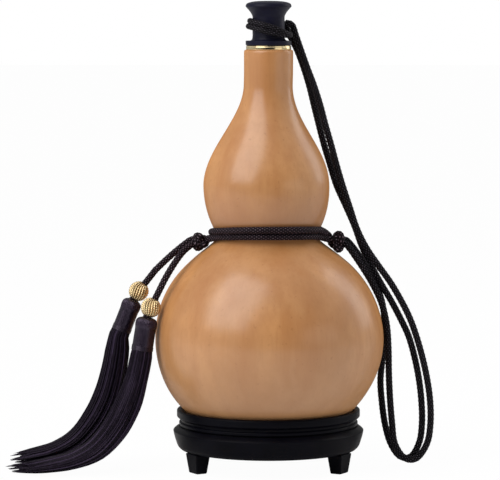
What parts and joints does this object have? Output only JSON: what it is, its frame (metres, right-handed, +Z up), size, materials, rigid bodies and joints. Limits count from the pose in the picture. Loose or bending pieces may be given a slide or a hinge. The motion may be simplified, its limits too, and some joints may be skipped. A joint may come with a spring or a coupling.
{
  "type": "gourd water bottle",
  "caption": "Dried double-bulb gourd bottle on a footed stand, with a pull-out stopper on a doubled strap, waist cords, metal beads and tassels.",
  "frame": {"origin": "centre of the three feet on the surface that the stand rests on, on the axis of the bottle", "axes": "+Z up along the bottle, -Y towards the front, +X towards the side that the strap hangs on"},
  "size_m": [0.2363, 0.1264, 0.258],
  "materials": {
    "gourd_skin": "satin, waxed dried gourd",
    "lining_coat": "food-safe sealing coat",
    "bushing_wood": "turned and sealed",
    "collar_brass": "polished",
    "stopper_black": "satin black lacquer on turned wood",
    "plug_wood": "turned and sealed",
    "stud_steel": "plain",
    "seal_rubber": "soft silicone",
    "stand_lacquer": "satin black lacquer",
    "dowel_wood": "plain hardwood",
    "waist_cord": "herringbone braided cord",
    "strap_cord": "braided cord",
    "bead_gold": "polished, ribbed",
    "tassel_satin": "satin thread wound tight",
    "tassel_thread": "loose satin threads"
  },
  "bodies": {
    "stand": {"stand_ring": "stand_lacquer", "stand_leg_left": "stand_lacquer", "stand_leg_right": "stand_lacquer", "stand_leg_rear": "stand_lacquer", "leg_dowels": "dowel_wood"},
    "bottle": {"gourd_shell": "gourd_skin", "inner_lining": "lining_coat", "mouth_bushing": "bushing_wood", "mouth_collar": "collar_brass", "waist_cord_upper": "waist_cord", "waist_cord_lower": "waist_cord", "left_knot": "waist_cord", "right_knot": "waist_cord", "strap_strand_outer": "strap_cord", "strap_strand_inner": "strap_cord", "tassel_cord_left": "waist_cord", "tassel_cord_right": "waist_cord", "tassel_head_left": "tassel_satin", "tassel_head_right": "tassel_satin", "tassel_binding_left": "tassel_satin", "tassel_binding_right": "tassel_satin", "tassel_skirt_left": "tassel_thread", "tassel_skirt_right": "tassel_thread"},
    "stopper": {"stopper_head": "stopper_black", "stopper_plug": "plug_wood", "stopper_stud": "stud_steel", "stopper_washer": "seal_rubber", "stopper_seals": "seal_rubber", "stopper_noose": "strap_cord"},
    "bead_on_left_cord": {"bead_left": "bead_gold"},
    "bead_on_right_cord": {"bead_right": "bead_gold"}
  },
  "joints": [
    {"name": "bottle_lift", "type": "slide", "parent": "stand", "child": "bottle", "axis": [0, 0, 1], "range_m": [0, 0.04]},
    {"name": "stopper_pull", "type": "slide", "parent": "bottle", "child": "stopper", "axis": [0, 0, 1], "range_m": [0, 0.026]},
    {"name": "bead_left_slide", "type": "slide", "parent": "bottle", "child": "bead_on_left_cord", "axis": [0.6201, 0, 0.7845], "range_m": [0, 0.008]},
    {"name": "bead_right_slide", "type": "slide", "parent": "bottle", "child": "bead_on_right_cord", "axis": [0.4437, 0, 0.8962], "range_m": [0, 0.006]}
  ]
}
